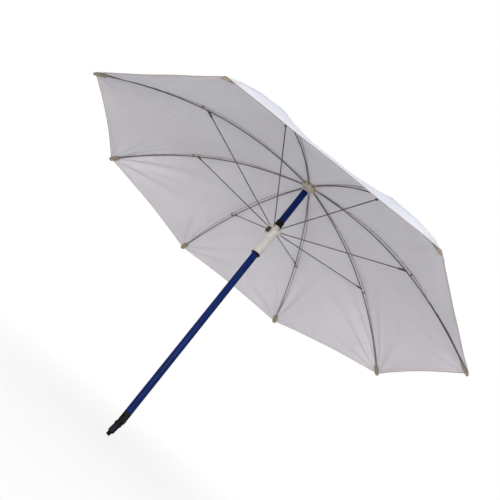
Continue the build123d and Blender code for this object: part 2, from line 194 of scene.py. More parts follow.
def radial(angle, r, z, y=0.0):
    """mm in the radial plane at an azimuth, y to its left looking outward, to metres"""
    r, z, y = np.broadcast_arrays(np.asarray(r, float), np.asarray(z, float),
                                  np.asarray(y, float))
    c, s = math.cos(angle), math.sin(angle)
    return np.stack([(r * c - y * s), (r * s + y * c), z], -1) * MM


# ------------------------------------------------------------------ shader helpers
def grey(value):
    return (value,) * 3


BLACK, WHITE = grey(0), grey(1)


class Shader:
    """Short calls for building the node tree of a material or world."""

    def __init__(self, owner):
        owner.use_nodes = True
        self.tree = owner.node_tree

    def feed(self, target, inputs):
        """sets each input of a node to a value, or links it when given a socket"""
        for socket, value in inputs.items():
            if isinstance(value, bpy.types.NodeSocket):
                self.tree.links.new(value, target.inputs[socket])
            else:
                target.inputs[socket].default_value = value

    def feed_named(self, node_name, inputs):
        self.feed(self.tree.nodes[node_name], inputs)

    def add(self, kind, inputs=None, **settings):
        made = self.tree.nodes.new("ShaderNode" + kind)
        for key, value in settings.items():
            setattr(made, key, value)
        self.feed(made, inputs or {})
        return made

    def calc(self, operation, *values):
        made = self.add("Math", dict(enumerate(values)), operation=operation)
        return made.outputs[0]

    def vector_calc(self, operation, *values, output=0):
        made = self.add("VectorMath", dict(enumerate(values)), operation=operation)
        return made.outputs[output]

    def object_coords(self):
        return self.add("TexCoord").outputs["Object"]

    def noise(self, coords, scale, detail, roughness=0.5):
        made = self.add("TexNoise", {"Scale": scale, "Detail": detail,
                                     "Roughness": roughness, "Vector": coords})
        return made.outputs[0]

    def ramp(self, factor, *stops):
        """stops are (position, colour)"""
        made = self.add("ValToRGB", {0: factor})
        elements = made.color_ramp.elements
        while len(elements) > 1:
            elements.remove(elements[-1])
        elements[0].position = stops[0][0]
        elements[0].color = (*stops[0][1], 1)
        for position, colour in stops[1:]:
            elements.new(position).color = (*colour, 1)
        return made.outputs[0]

    def map_range(self, value, **limits):
        """limits such as from_min=0.1; those not given keep the range 0 to 1"""
        named = {key.replace("_", " ").title(): number for key, number in limits.items()}
        return self.add("MapRange", {"Value": value, **named}).outputs[0]

    def mix(self, factor, first, second, blend="MIX"):
        made = self.add("Mix", {0: factor, 6: first, 7: second},
                        data_type="RGBA", blend_type=blend)
        return made.outputs[2]

    def mix_shader(self, factor, first, second):
        return self.add("MixShader", {0: factor, 1: first, 2: second}).outputs[0]

    def bump(self, height, strength, distance, under=None):
        inputs = {"Strength": strength, "Distance": distance, "Height": height}
        if under is not None:
            inputs["Normal"] = under
        return self.add("Bump", inputs).outputs[0]

    def crossed_threads(self, across, along):
        """plain weave: the product of two sine waves over the UV map"""
        uv = self.add("UVMap").outputs[0]
        axes = self.add("SeparateXYZ", {0: uv}).outputs
        waves = [self.calc("SINE", self.calc("MULTIPLY", axes[axis], frequency))
                 for axis, frequency in (("X", across), ("Y", along))]
        return self.calc("MULTIPLY", *waves)

    def surface(self, **inputs):
        """feeds the Principled shader; underscores stand for spaces"""
        self.feed_named("Principled BSDF",
                        {key.replace("_", " "): value for key, value in inputs.items()})

    @property
    def surface_output(self):
        return self.tree.nodes["Principled BSDF"].outputs[0]


def new_material(name):
    material = bpy.data.materials.new(name)
    return material, Shader(material)


# ------------------------------------------------------------------ materials
def canopy_material():
    material, sh = new_material("canopy_cloth")
    weave = sh.crossed_threads(across=1250.0, along=1150.0)
    coords = sh.object_coords()
    big = sh.noise(coords, scale=2.6, detail=3.0, roughness=0.55)
    mid = sh.noise(coords, scale=17.0, detail=5.0, roughness=0.6)
    fine = sh.noise(coords, scale=420.0, detail=2.0)
    tint = sh.ramp(big, (0.30, (0.800, 0.785, 0.810)), (0.50, (0.840, 0.828, 0.850)),
                   (0.72, (0.868, 0.862, 0.885)))
    spots = sh.ramp(mid, (0.30, (0.93, 0.925, 0.92)), (0.6, WHITE))
    relief = sh.bump(weave, strength=0.18, distance=0.0003)
    relief = sh.bump(mid, strength=0.22, distance=0.0035, under=relief)
    relief = sh.bump(fine, strength=0.10, distance=0.0004, under=relief)
    sh.surface(
        Base_Color=sh.mix(0.35, tint, spots, blend="MULTIPLY"),
        Roughness=sh.ramp(fine, (0.3, grey(0.62)), (0.7, grey(0.80))),
        Sheen_Weight=0.25,
        Sheen_Roughness=0.5,
        Specular_IOR_Level=0.28,
        Normal=relief)
    # a share of the light comes through the cloth
    through = sh.add("BsdfTranslucent", {"Color": (0.80, 0.80, 0.86, 1)}).outputs[0]
    sh.feed_named("Material Output", {0: sh.mix_shader(0.20, sh.surface_output, through)})
    return material


def trim_material(name, dark, light, threads, roughness=0.85, relief=0.5):
    """narrow woven tape or thread; threads is the weave frequency"""
    material, sh = new_material(name)
    weave = sh.calc("MULTIPLY_ADD", sh.crossed_threads(threads, threads), 0.5, 0.5)
    noise = sh.noise(sh.object_coords(), scale=260.0, detail=4.0)
    height = sh.calc("MULTIPLY_ADD", weave, 0.45, sh.calc("MULTIPLY", noise, 0.55))
    sh.surface(
        Base_Color=sh.ramp(height, (0.25, dark), (0.75, light)),
        Roughness=sh.ramp(noise, (0.2, grey(roughness - 0.08)), (0.8, grey(roughness + 0.08))),
        Sheen_Weight=0.2,
        Specular_IOR_Level=0.25,
        Normal=sh.bump(height, strength=relief, distance=0.0004))
    return material


def plastic_material(name, dark, light, roughness, wear, relief=0.12, specular=0.5):
    """moulded plastic or hard coating; wear is the colour of rubbed edges"""
    material, sh = new_material(name)
    coords = sh.object_coords()
    broad = sh.noise(coords, scale=24.0, detail=6.0, roughness=0.6)
    grain = sh.noise(coords, scale=900.0, detail=3.0)
    scuffs = sh.noise(coords, scale=110.0, detail=5.0, roughness=0.7)
    base = sh.ramp(broad, (0.35, dark), (0.65, light))
    edges = sh.ramp(sh.add("NewGeometry").outputs["Pointiness"], (0.505, BLACK), (0.56, WHITE))
    grained = sh.bump(grain, strength=relief, distance=0.00015)
    sh.surface(
        Base_Color=sh.mix(sh.calc("MULTIPLY", edges, scuffs), base, (*wear, 1)),
        Roughness=sh.ramp(scuffs, (0.25, grey(roughness - 0.09)), (0.75, grey(roughness + 0.10))),
        Specular_IOR_Level=specular,
        Normal=sh.bump(scuffs, strength=relief * 0.6, distance=0.0003, under=grained))
    return material


def metal_material(name, dark, light, roughness, metallic=1.0, scale=160.0, relief=0.1,
                   tarnish=None):
    """metal; tarnish is the colour of the part nearest the pole"""
    material, sh = new_material(name)
    coords = sh.object_coords()
    mapped = sh.add("Mapping", {0: coords}).outputs[0]
    fine = sh.noise(mapped, scale=scale, detail=6.0, roughness=0.65)
    broad = sh.noise(coords, scale=31.0, detail=5.0)
    blend = sh.calc("MULTIPLY_ADD", fine, 0.5, sh.calc("MULTIPLY", broad, 0.5))
    colour = sh.ramp(blend, (0.35, dark), (0.65, light))
    if tarnish is not None:
        flat = sh.vector_calc("MULTIPLY", coords, (1.0, 1.0, 0.0))
        radius = sh.vector_calc("LENGTH", flat, output="Value")
        near_pole = sh.map_range(radius, from_min=0.030, from_max=0.046, to_min=1.0, to_max=0.0)
        colour = sh.mix(near_pole, colour, (*tarnish, 1))
    sh.surface(
        Base_Color=colour,
        Roughness=sh.ramp(fine, (0.3, grey(roughness - 0.1)), (0.7, grey(roughness + 0.12))),
        Metallic=metallic,
        Normal=sh.bump(fine, strength=relief, distance=0.0002))
    return material


def paint_material():
    """navy enamel on the tube: slight orange peel, long faint draw lines, rubbed places"""
    material, sh = new_material("navy_enamel")
    coords = sh.object_coords()
    stretched = sh.add("Mapping", {0: coords, "Scale": (1.0, 1.0, 0.03)}).outputs[0]
    streaks = sh.noise(stretched, scale=240.0, detail=4.0)
    peel = sh.noise(coords, scale=620.0, detail=2.0)
    broad = sh.noise(coords, scale=9.0, detail=5.0)
    rubs = sh.noise(coords, scale=55.0, detail=8.0, roughness=0.75)
    enamel = sh.ramp(broad, (0.32, (0.0010, 0.0105, 0.0820)), (0.52, (0.0016, 0.0150, 0.1120)),
                     (0.72, (0.0030, 0.0210, 0.1500)))
    rubbed = sh.calc("MULTIPLY", sh.ramp(rubs, (0.66, BLACK), (0.74, WHITE)), 0.35)
    peeled = sh.bump(peel, strength=0.12, distance=0.00012)
    sh.surface(
        Base_Color=sh.mix(rubbed, enamel, (0.010, 0.030, 0.14, 1)),
        Roughness=sh.ramp(streaks, (0.3, grey(0.44)), (0.7, grey(0.56))),
        Specular_IOR_Level=0.12,
        Coat_Weight=0.03,
        Coat_Roughness=0.12,
        Normal=sh.bump(streaks, strength=0.08, distance=0.0002, under=peeled))
    return material


CLOTH = canopy_material()
HEM = trim_material("hem_fold", dark=(0.735, 0.685, 0.700), light=(0.805, 0.765, 0.780),
                    threads=2600.0, roughness=0.8)
HEM_EDGE = trim_material("overlocked_edge", dark=(0.285, 0.235, 0.205),
                         light=(0.49, 0.425, 0.385), threads=5200.0, roughness=0.8, relief=0.9)
# seam binding: partly the tape's own dark colour, partly painted shadow of the rib on the cloth
BINDING_AND_PAINTED_SHADOW = trim_material("seam_binding_and_painted_shadow", dark=(0.165, 0.140, 0.130),
                        light=(0.265, 0.230, 0.215), threads=4200.0, roughness=0.8)
SEAM = trim_material("seam_fold", dark=(0.74, 0.725, 0.74), light=(0.84, 0.83, 0.85),
                     threads=2600.0, roughness=0.8)
THREAD = trim_material("sewing_thread", dark=(0.50, 0.43, 0.41), light=(0.66, 0.59, 0.57),
                       threads=5200.0, roughness=0.7)
WHITE_THREAD = trim_material("white_thread", dark=(0.70, 0.68, 0.69), light=(0.83, 0.82, 0.84),
                             threads=5200.0, roughness=0.7)
WEBBING = trim_material("corner_webbing", dark=(0.215, 0.175, 0.105),
                        light=(0.40, 0.345, 0.235), threads=3600.0, relief=0.9)
CREAM = plastic_material("cream_plastic", dark=(0.570, 0.548, 0.505),
                         light=(0.660, 0.640, 0.600), roughness=0.44, wear=(0.52, 0.48, 0.41))
# the crown's plastic: the cream plastic made darker and browner as painted shade
CROWN_PAINTED_SHADE_PLASTIC = plastic_material("crown_plastic_painted_shade", dark=(0.520, 0.470, 0.390),
                         light=(0.650, 0.610, 0.530), roughness=0.50, wear=(0.40, 0.34, 0.25))
CAP = plastic_material("cap_plastic", dark=(0.60, 0.58, 0.545), light=(0.70, 0.68, 0.645),
                       roughness=0.42, wear=(0.48, 0.45, 0.40))
BLACK_PLASTIC = plastic_material(
    "black_plastic", dark=(0.0030, 0.0026, 0.0022), light=(0.0066, 0.0056, 0.0046),
    roughness=0.55, wear=(0.022, 0.019, 0.016), relief=0.25, specular=0.10)
BUTTON = plastic_material(
    "button_plastic", dark=(0.030, 0.020, 0.018), light=(0.050, 0.034, 0.030),
    roughness=0.45, wear=(0.11, 0.085, 0.075), relief=0.25, specular=0.3)
RIB_STEEL = metal_material(
    "rib_steel", dark=(0.100, 0.088, 0.082), light=(0.235, 0.207, 0.195), roughness=0.42,
    metallic=0.75, scale=90.0, relief=0.15, tarnish=(0.40, 0.34, 0.22))
WIRE = metal_material("pivot_wire", dark=(0.30, 0.27, 0.24), light=(0.46, 0.43, 0.40),
                      roughness=0.36)
ZINC = metal_material("zinc_steel", dark=(0.34, 0.33, 0.31), light=(0.54, 0.52, 0.50),
                      roughness=0.34)
SPRING = metal_material("spring_wire", dark=grey(0.40), light=grey(0.60), roughness=0.28)
PAINT = paint_material()
DARK_ENAMEL = plastic_material(
    "dark_enamel", dark=(0.0018, 0.0022, 0.0080), light=(0.0036, 0.0044, 0.0140),
    roughness=0.40, wear=(0.014, 0.016, 0.030), relief=0.1, specular=0.13)
PIN = metal_material("blackened_pin", dark=(0.020, 0.018, 0.016), light=(0.050, 0.045, 0.040),
                     roughness=0.50, metallic=0.6)

SLOT_MATERIALS = {
    "pole_paint": PAINT, "rib_steel": RIB_STEEL, "pivot_wire": WIRE, "rivet_steel": ZINC,
    "cream_plastic": CREAM, "black_plastic": BLACK_PLASTIC, "button_plastic": BUTTON,
    "spring_steel": SPRING, "pocket_leather": WEBBING, "canopy_fabric": CLOTH}
# pieces that differ from the rest of their slot; the crown's darker plastic is painted shade
PIECE_MATERIALS = {"top_cap": CAP, "crown": CROWN_PAINTED_SHADE_PLASTIC, "spigot_tube": DARK_ENAMEL,
                   "tilt_pin": PIN, "housing_pin": PIN, "collar_pin": PIN}
SMOOTH_ANGLE = math.radians(32)


def dress_cad_pieces():
    slot_of = {part["node"]: part["material_slot"] for part in frame["record"]["subparts"]}
    for name, piece in nodes.items():
        material = PIECE_MATERIALS.get(name, SLOT_MATERIALS[slot_of[name]])
        if not piece.material_slots:
            piece.data.materials.append(None)
        for slot in piece.material_slots:
            slot.link = "OBJECT"
            slot.material = material
        if name.startswith("gore"):
            continue
        # the operator fails where its bundled node group or the context is missing;
        # the piece then keeps its shading
        try:
            with bpy.context.temp_override(object=piece, active_object=piece,
                                           selected_objects=[piece],
                                           selected_editable_objects=[piece]):
                bpy.ops.object.shade_auto_smooth(angle=SMOOTH_ANGLE)
        except Exception:
            pass


dress_cad_pieces()


# ------------------------------------------------------------------ mesh helpers
def make(name, verts, faces, uv, rib, material, slot="canopy_fabric", weights=None):
    """a smooth mesh that rides on a rib; weights say how far it follows the next rib"""
    mesh = bpy.data.meshes.new(name)
    mesh.from_pydata([tuple(v) for v in verts], [], [tuple(f) for f in faces])
    mesh.validate(clean_customdata=False)
    mesh.update()
    mesh.polygons.foreach_set("use_smooth", [True] * len(mesh.polygons))
    layer = mesh.uv_layers.new(name="UVMap")
    corners = np.zeros(len(mesh.loops), int)
    mesh.loops.foreach_get("vertex_index", corners)
    layer.data.foreach_set("uv", np.asarray(uv, np.float32)[corners].ravel())
    mesh.materials.append(material)
    made = bpy.data.objects.new(name, mesh)
    scene.collection.objects.link(made)
    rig.ride(made, f"rib_{rib}")
    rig.slot(made, slot)
    if weights is not None:
        group = made.vertex_groups.new(name="next_rib")
        for k, weight in enumerate(np.clip(np.asarray(weights, float), 0, 1)):
            if weight > 1e-5:
                group.add([k], float(weight), "REPLACE")
        hook = made.modifiers.new("to_next_rib", "HOOK")
        hook.object = bodies[f"rib_{next_rib(rib)}"]
        hook.vertex_group = "next_rib"
        hook.falloff_type = "NONE"
        hook.strength = 1.0
        hook.matrix_inverse = Matrix.Identity(4)
        hook.center = (0, 0, 0)
    return made


def tube_walls(rings, sides, base=0):
    faces = []
    for ring in range(rings - 1):
        for k in range(sides):
            a = base + ring * sides + k
            b = base + ring * sides + (k + 1) % sides
            faces.append((a, b, b + sides, a + sides))
    return faces


def end_caps(rings, sides, base=0):
    last = base + (rings - 1) * sides
    return [tuple(base + k for k in range(sides - 1, -1, -1)),
            tuple(last + k for k in range(sides))]


def strip(name, point_at, outline, count, length, rib, material, weight_at=None):
    """sweeps a closed outline of (a, b) points along point_at(q, a, b), q from 0 to 1"""
    verts, weights, uv = [], [], []
    for q in np.linspace(0, 1, count):
        for a, b in outline:
            verts.append(point_at(q, a, b))
            uv.append((a * MM, q * length * MM))
            if weight_at:
                weights.append(weight_at(q))
    sides = len(outline)
    faces = tube_walls(count, sides) + end_caps(count, sides)
    return make(name, verts, faces, uv, rib, material, weights=weights if weight_at else None)


STITCH_SIDES = 6
STITCH_RINGS = ((0.0, 0.45), (0.14, 0.95), (0.5, 1.1), (0.86, 0.95), (1.0, 0.45))
# ring columns: share of the length, share of the radius


def stitches(name, ends, radius, rib, material, slot="canopy_fabric", weights=None):
    """short capsules between pairs of points in metres; one weight per capsule"""
    verts, faces, vertex_weights, uv = [], [], [], []
    for k, (start, end) in enumerate(ends):
        start, end = np.asarray(start, float), np.asarray(end, float)
        along = end - start
        length = np.linalg.norm(along)
        along /= length
        up = np.array([0.0, 0.0, 1.0]) if abs(along[2]) < 0.9 else np.array([1.0, 0, 0])
        side = np.cross(along, up)
        side /= np.linalg.norm(side)
        other = np.cross(along, side)
        base = len(verts)
        for share, width in STITCH_RINGS:
            for j in range(STITCH_SIDES):
                a = 2 * math.pi * j / STITCH_SIDES
                outward = side * math.cos(a) + other * math.sin(a)
                verts.append(start + along * length * share + outward * radius * width * MM)
                uv.append((share * length, j * 0.0003))
                if weights:
                    vertex_weights.append(weights[k])
        faces += tube_walls(len(STITCH_RINGS), STITCH_SIDES, base)
        faces += end_caps(len(STITCH_RINGS), STITCH_SIDES, base)
    return make(name, verts, faces, uv, rib, material, slot,
                weights=vertex_weights if weights else None)


def stitch_span(k, count):
    """start and end of stitch k, as shares of a row of stitches"""
    return (k + 0.12) / count, (k + 0.80) / count


# ------------------------------------------------------------------ the canopy surface
# per rib, mm: how far the seam stands off it and how far it has slipped to its left
STAND = {1: 5.0, 2: 5.0, 3: 4.6, 4: 4.6, 5: 9.0, 6: 9.5, 7: 6.0, 8: 7.5}
SLIP = {1: 0.0, 2: 0.0, 3: 0.6, 4: 1.0, 5: 6.5, 6: -5.5, 7: -2.0, 8: 3.0}
# ribs where the seam comes back down later than on the others, and the t where that starts
LATE_RIBS = (5, 6)
STAND_END_T, LATE_STAND_END_T = 0.60, 0.78
# per gore: sag of the cloth between its ribs, mm
SAG = {1: 33.5, 2: 20.0, 3: 13.0, 4: 13.0, 5: 15.0, 6: 17.0, 7: 17.0, 8: 22.0}
# per gore: how strongly the cloth is drawn at its own rib's tip and at the next rib's tip
PULL = {1: (1.0, 0.8), 2: (0.9, 1.0), 3: (2.0, 1.0), 4: (1.6, 1.2),
        5: (1.3, 2.2), 6: (0.9, 1.5), 7: (0.8, 0.9), 8: (0.9, 1.1)}


def edge_profile(t, stand):
    """fabric mid-surface over a rib, (r, z)"""
    t = np.asarray(t, float)
    nr, nz = normal(t)
    r, z = centreline(t)
    crown_lift = 1.2 * (1 - smooth(0.0, 0.10, t))
    return (r + FABRIC_ABOVE_RIB * nr + stand * nr,
            z + FABRIC_ABOVE_RIB * nz + crown_lift + stand * nz)


def stand_of(rib, t):
    end = LATE_STAND_END_T if rib in LATE_RIBS else STAND_END_T
    return STAND[rib] * smooth(0.08, 0.38, t) * (1 - smooth(end, end + 0.17, t))


def slip_of(rib, t):
    return SLIP[rib] * smooth(0.10, 0.38, t) * (1 - smooth(0.82, 0.95, t))


def hem_t(u):
    """t of the cloth's outer edge"""
    return CLOTH_END_T - (HEM_SAG / COS_HALF / RIB_RUN) * (1 - u * u)


def corner_folds(y, radius, to_tip, pull, phase, gore, side):
    """folds from one tip and its seam; y is the distance from the seam, mm"""
    distance = np.hypot(y, to_tip) + 1.0
    angle = np.arctan2(y, to_tip)
    # rays fade out along the seam and along the hem
    gate = smooth(0.0, 0.16, angle) * smooth(1.571, 1.30, angle)
    bend = 0.25 * np.sin(distance / 60.0 + phase)

    def rays(height, reach, rise, frequency, shift):
        """fan of waves that rises over a range of distance and fades with reach, mm"""
        fall = np.exp(-distance / reach) * smooth(*rise, distance)
        return height * pull * fall * np.sin(angle * frequency + shift + bend) * gate

    crease_angle = 0.42 + 0.16 * math.sin(gore * 1.7 + side)
    crease_width = 0.055 + 9.0 / (distance + 60.0)

    def crease(height, shift, reach):
        """one long ridge out of the corner, shifted by a number of its widths"""
        offset = (angle - crease_angle - shift * crease_width) / crease_width
        return (height * pull * np.exp(-offset ** 2) * smooth(25.0, 110.0, distance)
                * np.exp(-(distance / reach) ** 2))

    folds = rays(height=7.2, reach=135.0, rise=(6.0, 70.0),
                 frequency=10.0 + (gore * 3 + side) % 4, shift=phase)
    folds += rays(height=2.5, reach=260.0, rise=(60.0, 150.0),
                  frequency=15.0 + (gore + 2 * side) % 5, shift=2.1 * phase)
    folds += crease(height=4.2, shift=0.0, reach=330.0)
    folds -= crease(height=3.6, shift=1.9, reach=300.0)

    # small puckers along the seam
    pucker_pitch = 31.0 + 4.0 * math.sin(gore * 2.0 + side)
    near_seam = np.exp(-(y / 13.0)) * smooth(0.0, 2.5, y)
    folds += 0.9 * near_seam * np.sin(2 * math.pi * radius / pucker_pitch + phase)

    # short slanted creases that leave the seam about 150 mm in from the tip
    row_centre = 150.0 + 40.0 * math.sin(gore + side)
    row = (np.exp(-(y / 42.0)) * smooth(1.0, 10.0, y)
           * np.exp(-((to_tip - row_centre) / 95.0) ** 2))
    folds += 1.5 * pull * row * np.sin(2 * math.pi * (radius + 0.55 * y) / 38.0 + phase)
    return folds


def ripple(u, t, gore):
    """height of the tension folds and of the slow unevenness, mm"""
    radius = PIVOT_RADIUS + RIB_RUN * t
    to_tip = RIB_RUN * (1 - t) * 1.08       # along the rib, a little longer than its run
    height = np.zeros_like(u + t)
    for side, across, phase in ((0, 1 + u, 0.7 * gore), (1, 1 - u, 1.9 + 1.3 * gore)):
        height += corner_folds(radius * SIN_HALF * across, radius, to_tip,
                               PULL[gore][side], phase, gore, side)
    slow = (np.sin(3.1 * u + 0.9 * gore) * np.sin(5.2 * t + 1.1 * gore)
            + 0.6 * np.sin(6.3 * u * t + 2.0 * gore))
    fade = smooth(0.05, 0.3, t) * (1 - smooth(0.93, 1.0, t) * 0.4)
    return height + 2.2 * slow * (1 - u * u) * fade


def next_weight(u):
    """share of the next rib at u"""
    return (u + 1) / 2


def surface(u, t, gore, above=0.0):
    """point of a gore in metres, lifted above its mid-surface by some mm"""
    u, t = np.broadcast_arrays(np.asarray(u, float), np.asarray(t, float))
    neighbour = next_rib(gore)
    w = next_weight(u)
    r, z = edge_profile(t, (1 - w) * stand_of(gore, t) + w * stand_of(neighbour, t))
    nr, nz = normal(t)
    own_slip = slip_of(gore, t) * (1 - w)
    next_slip = slip_of(neighbour, t) * w
    t_in = np.clip(t, 0, 1)
    dip = (SAG[gore] * (1 - u * u) ** 1.15 * np.sin(math.pi * t_in ** 0.8) ** 0.9
           * (0.35 + 0.65 * t_in))
    # rounding can take u just past 1, where the power has no real value
    height = (-np.nan_to_num(dip) + ripple(u, t, gore) * smooth(0.02, 0.08, t) + above)
    x = r * COS_HALF + height * nr + SIN_HALF * (next_slip - own_slip)
    y = -(r * SIN_HALF) * u + COS_HALF * (own_slip + next_slip)
    return radial(azimuth(gore) - HALF_GORE, x, z + height * nz, y)


# ------------------------------------------------------------------ gores
GORE_COLUMNS, GORE_ROWS = 65, 150
SEAM_CROWDING = 0.86      # share of a quarter sine wave, which crowds columns at the seams
HEM_CROWDING = 0.25       # share of sine spacing, which crowds rows at the hem


def build_gore(gore):
    columns = (np.sin(np.linspace(-1, 1, GORE_COLUMNS) * math.pi / 2 * SEAM_CROWDING)
               / math.sin(math.pi / 2 * SEAM_CROWDING))
    rows = np.linspace(0, 1, GORE_ROWS)
    rows = (1 - HEM_CROWDING) * rows + HEM_CROWDING * np.sin(rows * math.pi / 2)
    u, v = np.meshgrid(columns, rows, indexing="ij")
    t = CLOTH_START_T + v * (hem_t(u) - CLOTH_START_T)
    radius_m = (PIVOT_RADIUS + RIB_RUN * t) * MM
    uv = np.stack([radius_m * SIN_HALF * u, t * 0.80], -1).reshape(-1, 2)
    faces = []
    for i in range(GORE_COLUMNS - 1):
        for j in range(GORE_ROWS - 1):
            a = i * GORE_ROWS + j
            faces.append((a, a + 1, a + GORE_ROWS + 1, a + GORE_ROWS))
    cloth = make(f"canopy_gore_{gore}", surface(u, t, gore).reshape(-1, 3), faces, uv, gore,
                 CLOTH, weights=next_weight(u).ravel())
    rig.replaces(cloth, f"gore_{gore}")
    solid = cloth.modifiers.new("cloth_thickness", "SOLIDIFY")
    solid.thickness = CLOTH_THICKNESS * MM
    solid.offset = 0.0


for gore in range(1, RIBS + 1):
    build_gore(gore)


# ------------------------------------------------------------------ hems
# outlines: (inset from the cloth's edge, height above the mid-surface), mm
HEM_OUTLINE = [
    (0.5, -0.36), (HEM_WIDTH - 0.6, -0.36), (HEM_WIDTH, -0.5), (HEM_WIDTH - 0.2, -0.85),
    (HEM_WIDTH - 1.6, -0.98), (2.0, -1.05), (0.6, -0.9)]
HEM_EDGE_OUTLINE = [
    (-0.75, -0.25), (-0.4, 0.45), (0.5, 0.62), (1.1, 0.5), (1.3, 0.36),
    (0.45, 0.3), (0.45, -0.95), (1.2, -1.08), (0.4, -1.2), (-0.4, -0.95)]
HEM_LENGTH = 582.0
HEM_STATIONS = 110
HEM_END_U = 0.985
HEM_STITCH_END_U = 0.955
HEM_STITCH_ROW, HEM_STITCH_PITCH = 572, 5.2
HEM_STITCH_INSET = HEM_WIDTH - 1.8
HEM_STITCH_HEIGHTS = (0.42, -1.08)            # outside, inside
HEM_STITCH_RADIUS = 0.34


def hem_point(gore, u, inset, above):
    return surface(u, hem_t(u) - inset * HEM_FORESHORTENING / RIB_RUN, gore, above)


def build_hem(gore):
    """a doubled strip under the edge, then an overlocked edge"""
    def u_at(q):
        return -HEM_END_U + 2 * HEM_END_U * q

    for name, outline, material in (("hem", HEM_OUTLINE, HEM),
                                    ("hem_edge", HEM_EDGE_OUTLINE, HEM_EDGE)):
        strip(f"{name}_{gore}", lambda q, a, b: hem_point(gore, u_at(q), a, b), outline,
              HEM_STATIONS, HEM_LENGTH, gore, material,
              weight_at=lambda q: next_weight(u_at(q)))


def build_hem_stitching(gore):
    def u_at(q):
        return -HEM_STITCH_END_U + 2 * HEM_STITCH_END_U * q

    ends, weights = [], []
    count = int(HEM_STITCH_ROW / HEM_STITCH_PITCH)
    for k in range(count):
        span = stitch_span(k, count)
        for above in HEM_STITCH_HEIGHTS:
            ends.append([hem_point(gore, u_at(q), HEM_STITCH_INSET, above) for q in span])
            weights.append(next_weight(u_at(sum(span) / 2)))
    stitches(f"hem_stitching_{gore}", ends, HEM_STITCH_RADIUS, gore, THREAD, weights=weights)


for gore in range(1, RIBS + 1):
    build_hem(gore)
for gore in range(1, RIBS + 1):
    build_hem_stitching(gore)


# ------------------------------------------------------------------ seams along the ribs
SEAM_LENGTH = 800.0
SEAM_STATIONS = 120
# outlines: (distance across the seam, height above the mid-surface), mm
# start, span: range of t; shift: offset to the rib's left; wobble, waves: side-to-side waver
SEAM_STRIPS = (
    # flat-felled ridge outside
    dict(name="seam_outside", material=SEAM, start=0.004, span=0.9915,
         shift=0.0, wobble=0.0, waves=0.0,
         outline=[(-5.6, 0.1), (-5.2, 0.72), (-2.6, 0.98), (0.0, 1.15), (2.6, 0.98),
                  (5.2, 0.72), (5.6, 0.1), (2.6, 0.28), (0.0, 0.35), (-2.6, 0.28)]),
    # folded allowance inside
    dict(name="seam_allowance", material=SEAM, start=0.035, span=0.925,
         shift=5.6, wobble=0.5, waves=37.0,
         outline=[(-3.8, -0.5), (3.6, -0.5), (4.1, -0.9), (3.5, -1.5), (-3.4, -1.6),
                  (-4.2, -1.1)]),
    # narrow dark binding inside; its darkness is partly the tape's own colour and partly painted shadow of the rib on
    # the cloth
    dict(name="seam_binding_and_painted_shadow", material=BINDING_AND_PAINTED_SHADOW, start=0.030, span=0.935,
         shift=0.0, wobble=0.25, waves=53.0,
         outline=[(-1.0, -0.45), (1.0, -0.45), (0.85, -1.0), (0.0, -1.25), (-0.85, -1.0)]),
)
SEAM_STITCH_PITCH = 5.6
SEAM_STITCH_ROWS = (-3.9, 3.9)
SEAM_STITCH_HEIGHT = 1.05
SEAM_STITCH_START_T, SEAM_STITCH_SPAN_T = 0.03, 0.945
SEAM_STITCH_RADIUS = 0.30


def seam_point(rib, t, across, above):
    """point near a seam; the cloth falls away on both sides of the rib"""
    r, z = edge_profile(t, stand_of(rib, t))
    nr, nz = normal(t)
    height = above - abs(across) * math.tan(HALF_GORE) * nr
    return radial(azimuth(rib), r + height * nr, z + height * nz, across + slip_of(rib, t))


def build_seam_strip(rib, name, material, start, span, shift, wobble, waves, outline):
    def point_at(q, a, b):
        across = shift + wobble * math.sin(q * waves + rib) + a
        return seam_point(rib, start + q * span, across, b)

    strip(f"{name}_{rib}", point_at, outline, SEAM_STATIONS, SEAM_LENGTH, rib, material)


# the tie's ribbon section: (distance along the rib, share of its thickness outward), mm
TIE_SECTION = ((-3.6, 0.0), (-3.2, 0.32), (3.2, 0.32), (3.6, 0.0), (3.2, -0.32), (-3.2, -0.32))
TIE_LOOP_RADIUS = 2.75
# the tie's legs, from the seam down: (half width, depth below the cloth)
TIE_LEGS = ((4.6, 2.1), (4.0, 3.2))
TIE_NECK = (2.9, 1.2)                         # half width, height above the rib centreline


def build_tie(rib):
    """a ribbon just outside the rivet that loops under the rib and up to the seam"""
    nr, nz = normal(TIE_T)
    rib_r, rib_z = centreline(TIE_T)
    cloth_r, cloth_z = edge_profile(TIE_T, stand_of(rib, TIE_T))
    top = (cloth_r - rib_r) * nr + (cloth_z - rib_z) * nz
    slip = slip_of(rib, TIE_T)
    neck_width, neck_height = TIE_NECK
    path = [(width + slip, top - depth) for width, depth in TIE_LEGS]
    path.append((neck_width, neck_height))
    path += [(TIE_LOOP_RADIUS * math.cos(a), TIE_LOOP_RADIUS * math.sin(a))
             for a in np.linspace(0.25, -math.pi - 0.25, 15)]
    path.append((-neck_width, neck_height))
    path += [(-width + slip, top - depth) for width, depth in reversed(TIE_LEGS)]

    verts, uv = [], []
    for k, (y, height) in enumerate(path):
        before = path[max(0, k - 1)]
        after = path[min(len(path) - 1, k + 1)]
        dy, dh = after[0] - before[0], after[1] - before[1]
        length = math.hypot(dy, dh)
        for along, out in TIE_SECTION:
            h = height + dy / length * out
            verts.append(radial(azimuth(rib), rib_r + h * nr + nz * along,
                                rib_z + h * nz - nr * along, y - dh / length * out))
            uv.append((along * MM, k * 0.0012))
    sides = len(TIE_SECTION)
    faces = tube_walls(len(path), sides) + end_caps(len(path), sides)
    make(f"rib_tie_{rib}_1", verts, faces, uv, rib, WEBBING, "pocket_leather")


